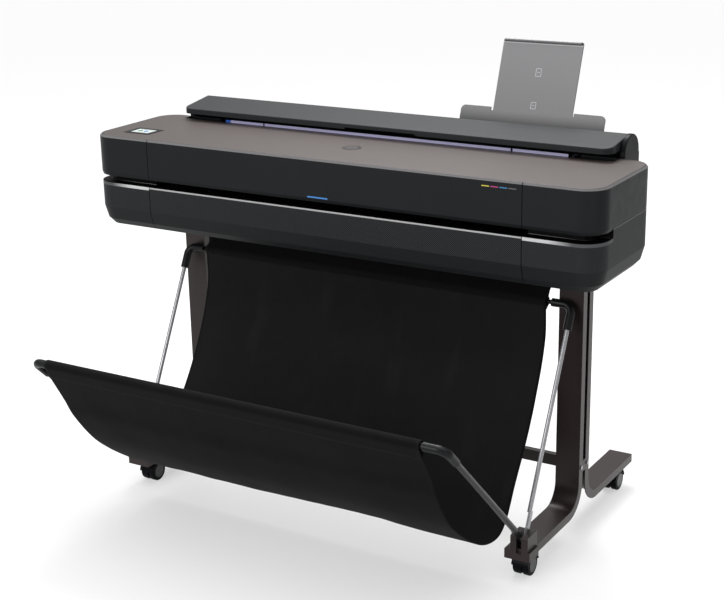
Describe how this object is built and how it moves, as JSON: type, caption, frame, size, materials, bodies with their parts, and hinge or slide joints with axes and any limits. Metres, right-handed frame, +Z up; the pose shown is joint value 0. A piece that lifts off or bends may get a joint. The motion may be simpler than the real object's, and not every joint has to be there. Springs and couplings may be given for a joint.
{
  "type": "large format plotter",
  "caption": "Wide roll printer on a wheeled stand: long rounded body with front door, roll cover, sheet feeder, touch panel and a folding fabric basket below.",
  "frame": {"origin": "on the floor, under the middle of the whole object's box", "axes": "+X to the right as seen from the front, +Y from the front towards the back, +Z up"},
  "size_m": [1.317, 0.93, 1.0822],
  "materials": {
    "top_skin": "metallic grey-brown, fine speckle",
    "dark_shell": "satin charcoal",
    "textured_shell": "fine diagonal texture",
    "lid_shell": "fine grained charcoal grey",
    "ear_plastic": "smooth dark grey",
    "guide_plastic": "pale lavender",
    "feeder_plastic": "satin mid grey",
    "inner_plastic": "matt black",
    "ink_plastic": "smooth dark plastic",
    "screen": "smooth lit panel",
    "stand_paint": "satin dark brown powder coat",
    "basket_tube": "satin dark grey",
    "basket_fabric": "black woven cloth",
    "elbow_plastic": "matt black",
    "caster_plastic": "satin black",
    "caster_tread": "smooth black",
    "plain_steel": "brushed",
    "plain_aluminium": "extruded, satin",
    "belt_rubber": "matt black",
    "board": "green lacquer"
  },
  "bodies": {
    "root": {"basket_fabric_rear": "basket_fabric", "basket_holder_left": "stand_paint", "basket_holder_right": "stand_paint", "basket_rear_elbows": "elbow_plastic", "basket_rear_frame": "plain_steel", "bottom_pan": "textured_shell", "carriage_rail": "plain_aluminium", "cartridge_bay": "inner_plastic", "chassis_plates": "plain_steel", "crossbar": "stand_paint", "display_bezel": "dark_shell", "display_screen": "screen", "drive_belt": "belt_rubber", "drive_motors": "inner_plastic", "end_cover_left": "dark_shell", "end_cover_right": "dark_shell", "feeder_plate": "feeder_plastic", "ink_cartridges": "ink_plastic", "leg_front_left": "stand_paint", "leg_front_right": "stand_paint", "leg_rear_left": "stand_paint", "leg_rear_right": "stand_paint", "lower_end_cover_left": "textured_shell", "lower_end_cover_right": "textured_shell", "lower_front_panel": "textured_shell", "main_board": "board", "paper_guide": "guide_plastic", "platen": "inner_plastic", "power_inlet": "inner_plastic", "power_supply": "plain_aluminium", "rear_housing": "lid_shell", "roll_cover_ears": "ear_plastic", "service_station": "inner_plastic", "stand_screws": "plain_steel", "top_cover": "top_skin"},
    "front_door": {"front_door": "dark_shell"},
    "roll_cover": {"roll_cover": "lid_shell"},
    "feeder_extension": {"feeder_extension": "feeder_plastic"},
    "basket_front": {"basket_front_frame": "basket_tube", "basket_front_elbows": "elbow_plastic", "basket_fabric_front": "basket_fabric"},
    "carriage": {"carriage": "inner_plastic", "printhead": "plain_steel"},
    "drive_pulley": {"drive_pulley": "plain_aluminium"},
    "idler_pulley": {"idler_pulley": "plain_aluminium"},
    "feed_roller": {"feed_roller": "plain_aluminium", "feed_gear": "guide_plastic"},
    "pinch_rollers": {"pinch_rollers": "belt_rubber"},
    "motor_pinion": {"motor_pinion": "plain_steel"},
    "roll_spindle": {"roll_spindle": "inner_plastic", "spindle_hubs": "guide_plastic"},
    "power_button": {"power_button": "ear_plastic"},
    "caster_front_left": {"caster_hood_front_left": "caster_plastic"},
    "wheels_front_left": {"caster_wheels_front_left": "caster_tread"},
    "caster_front_right": {"caster_hood_front_right": "caster_plastic"},
    "wheels_front_right": {"caster_wheels_front_right": "caster_tread"},
    "caster_rear_left": {"caster_hood_rear_left": "caster_plastic"},
    "wheels_rear_left": {"caster_wheels_rear_left": "caster_tread"},
    "caster_rear_right": {"caster_hood_rear_right": "caster_plastic"},
    "wheels_rear_right": {"caster_wheels_rear_right": "caster_tread"}
  },
  "joints": [
    {"name": "front_door_hinge", "type": "hinge", "parent": "root", "child": "front_door", "pos_m": [0, -0.063, 0.868], "axis": [-1, 0, 0], "range_deg": [0, 80]},
    {"name": "roll_cover_hinge", "type": "hinge", "parent": "root", "child": "roll_cover", "pos_m": [0, 0.34, 0.886], "axis": [-1, 0, 0], "range_deg": [0, 75]},
    {"name": "feeder_extension_slide", "type": "slide", "parent": "root", "child": "feeder_extension", "axis": [0, -0.342, -0.9397], "range_m": [0, 0.125]},
    {"name": "basket_fold", "type": "hinge", "parent": "root", "child": "basket_front", "pos_m": [0, -0.115, 0.092], "axis": [-1, 0, 0], "range_deg": [0, 50]},
    {"name": "carriage_travel", "type": "slide", "parent": "root", "child": "carriage", "axis": [-1, 0, 0], "range_m": [0, 1]},
    {"name": "drive_pulley_spin", "type": "hinge", "parent": "root", "child": "drive_pulley", "pos_m": [-0.591, 0.081, 0.848], "axis": [0, 0, 1], "continuous": true},
    {"name": "idler_pulley_spin", "type": "hinge", "parent": "root", "child": "idler_pulley", "pos_m": [0.591, 0.081, 0.848], "axis": [0, 0, 1], "continuous": true},
    {"name": "feed_roller_spin", "type": "hinge", "parent": "root", "child": "feed_roller", "pos_m": [0, 0.126, 0.742], "axis": [1, 0, 0], "continuous": true},
    {"name": "pinch_rollers_spin", "type": "hinge", "parent": "root", "child": "pinch_rollers", "pos_m": [0, 0.126, 0.7643], "axis": [1, 0, 0], "continuous": true},
    {"name": "motor_pinion_spin", "type": "hinge", "parent": "root", "child": "motor_pinion", "pos_m": [0, 0.1651, 0.71942], "axis": [1, 0, 0], "continuous": true},
    {"name": "roll_spindle_spin", "type": "hinge", "parent": "root", "child": "roll_spindle", "pos_m": [0, 0.266, 0.815], "axis": [1, 0, 0], "continuous": true},
    {"name": "power_button_press", "type": "slide", "parent": "root", "child": "power_button", "axis": [0, -1, 0], "range_m": [0, 0.003], "stiffness_N_per_m": 400},
    {"name": "caster_front_left_swivel", "type": "hinge", "parent": "root", "child": "caster_front_left", "pos_m": [-0.516, -0.099, 0.065], "axis": [0, 0, 1], "continuous": true},
    {"name": "wheels_front_left_roll", "type": "hinge", "parent": "caster_front_left", "child": "wheels_front_left", "pos_m": [-0.516, -0.088, 0.025], "axis": [1, 0, 0], "continuous": true},
    {"name": "caster_front_right_swivel", "type": "hinge", "parent": "root", "child": "caster_front_right", "pos_m": [0.516, -0.099, 0.065], "axis": [0, 0, 1], "continuous": true},
    {"name": "wheels_front_right_roll", "type": "hinge", "parent": "caster_front_right", "child": "wheels_front_right", "pos_m": [0.516, -0.088, 0.025], "axis": [1, 0, 0], "continuous": true},
    {"name": "caster_rear_left_swivel", "type": "hinge", "parent": "root", "child": "caster_rear_left", "pos_m": [-0.516, 0.425, 0.065], "axis": [0, 0, 1], "continuous": true},
    {"name": "wheels_rear_left_roll", "type": "hinge", "parent": "caster_rear_left", "child": "wheels_rear_left", "pos_m": [-0.516, 0.436, 0.025], "axis": [1, 0, 0], "continuous": true},
    {"name": "caster_rear_right_swivel", "type": "hinge", "parent": "root", "child": "caster_rear_right", "pos_m": [0.516, 0.425, 0.065], "axis": [0, 0, 1], "continuous": true},
    {"name": "wheels_rear_right_roll", "type": "hinge", "parent": "caster_rear_right", "child": "wheels_rear_right", "pos_m": [0.516, 0.414, 0.025], "axis": [1, 0, 0], "continuous": true}
  ],
  "couplings": [
    {"joint": "drive_pulley_spin", "follows": "carriage_travel", "rad_per_m": -100},
    {"joint": "idler_pulley_spin", "follows": "carriage_travel", "rad_per_m": -100},
    {"joint": "pinch_rollers_spin", "follows": "feed_roller_spin", "ratio": -2.1429},
    {"joint": "motor_pinion_spin", "follows": "feed_roller_spin", "ratio": -5}
  ]
}
